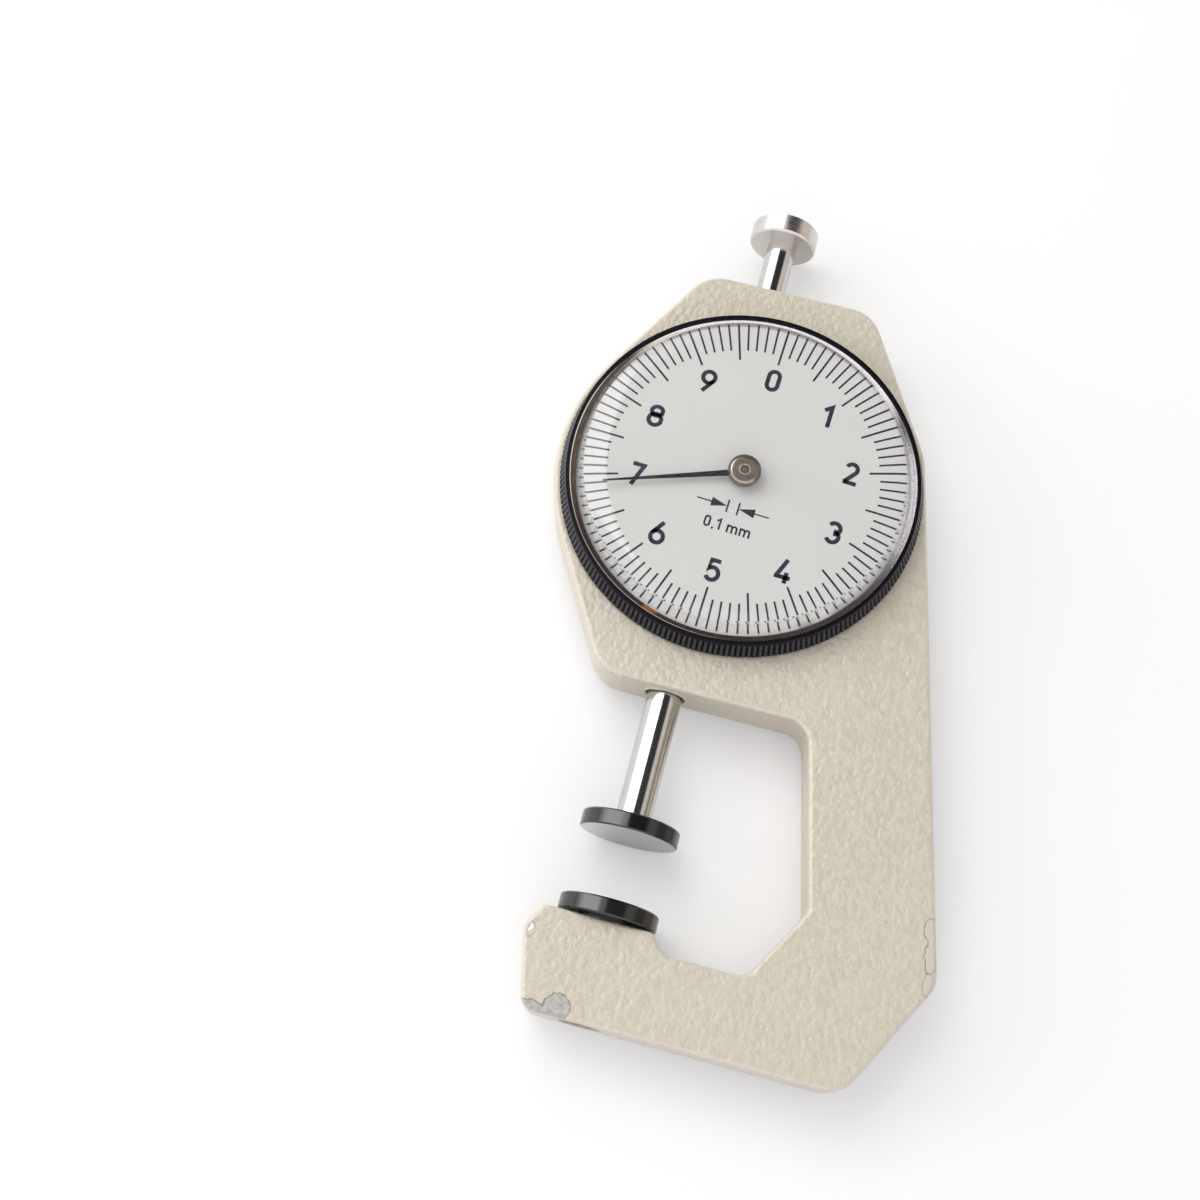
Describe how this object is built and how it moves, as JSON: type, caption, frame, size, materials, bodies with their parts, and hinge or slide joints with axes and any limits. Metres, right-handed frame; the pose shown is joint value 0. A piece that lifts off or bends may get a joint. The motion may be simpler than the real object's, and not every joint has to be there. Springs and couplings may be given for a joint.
{
  "type": "dial thickness gauge",
  "caption": "Pocket dial thickness gauge: C-shaped frame, spring-closed measuring spindle with flat round anvils, rack-driven needle and turning knurled bezel.",
  "frame": {"origin": "centre of the fixed lower anvil's measuring face, on the spindle's axis and on the middle plane of the frame", "axes": "+Y up along the spindle from the lower anvil to the lifting knob, +Z out of the dial towards the reader, +X from the spindle towards the column; the gauge lies on its back"},
  "size_m": [0.0495, 0.0901, 0.013],
  "materials": {
    "lacquer": "grey-beige hammer lacquer over cast metal",
    "steel": "ground and polished steel",
    "anvil_steel": "blackened hardened steel with lapped measuring faces",
    "nickel": "polished nickel plating",
    "brass": "satin machined brass",
    "bezel_black": "black lacquered brass ring with a bright-cut inner bevel",
    "dial_face": "pale silver dial with dark print",
    "spring_steel": "drawn spring wire",
    "bronze": "rolled bronze strip",
    "needle_black": "black enamelled sheet",
    "crystal": "clear moulded acrylic"
  },
  "bodies": {
    "frame": {"frame": "lacquer", "rear_cover": "lacquer", "rear_cover_screws": "steel", "movement_plate": "brass", "movement_plate_screws": "steel", "movement_pillars": "brass", "rear_bridge": "brass", "front_bearing": "brass", "rear_bearing": "brass", "upper_guide_bush": "brass", "lower_guide_bush": "brass", "lower_anvil": "anvil_steel", "lower_anvil_screw": "steel", "bezel_retaining_wire": "spring_steel", "hairspring_stud": "brass", "return_spring": "spring_steel"},
    "spindle": {"spindle": "steel", "upper_anvil": "anvil_steel", "lifting_knob": "nickel", "carrier": "brass", "guide_pin": "steel"},
    "needle": {"arbor": "steel", "pinion": "steel", "hairspring_collet": "brass", "hairspring": "bronze", "needle": "needle_black", "needle_hub": "nickel"},
    "bezel": {"bezel": "bezel_black", "dial_plate": "dial_face", "dial_ring": "spring_steel", "crystal": "crystal"}
  },
  "joints": [
    {"name": "spindle_lift", "type": "slide", "parent": "frame", "child": "spindle", "axis": [0, 1, 0], "range_m": [-0.0069, 0.0031], "stiffness_N_per_m": 50, "springref_m": -0.019, "deforming": ["return_spring"]},
    {"name": "needle_turn", "type": "hinge", "parent": "frame", "child": "needle", "pos_m": [0.0022, 0.0455, 0], "axis": [0, 0, 1], "range_deg": [-111.7, 248.5]},
    {"name": "bezel_turn", "type": "hinge", "parent": "frame", "child": "bezel", "pos_m": [0.0022, 0.0455, 0], "axis": [0, 0, 1], "continuous": true}
  ],
  "couplings": [
    {"joint": "needle_turn", "follows": "spindle_lift", "rad_per_m": -628.32}
  ]
}
